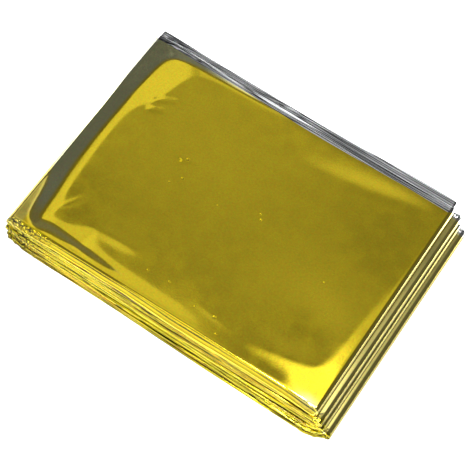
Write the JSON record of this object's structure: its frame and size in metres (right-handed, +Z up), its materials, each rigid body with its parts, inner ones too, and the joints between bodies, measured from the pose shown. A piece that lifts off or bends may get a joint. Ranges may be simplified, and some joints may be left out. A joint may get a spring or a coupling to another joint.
{
  "type": "folded emergency foil blanket",
  "caption": "Thin metallised survival blanket folded back and forth into a flat hand-sized pack, gold outside with silver edges at the back.",
  "frame": {"origin": "middle of the pack's outline, on the face that it rests on", "axes": "+X along the pack's long side, towards the end whose folds step out; +Y across the pack, from the creased long side to the silver one; +Z up through the layers"},
  "size_m": [0.141, 0.1036, 0.0168],
  "materials": {
    "gold_film": "glossy metallised plastic film, yellow gold on the side that shows and silver on the other, with fine wrinkles"
  },
  "bodies": {
    "root": {"foil_blanket": "gold_film"}
  },
  "joints": []
}
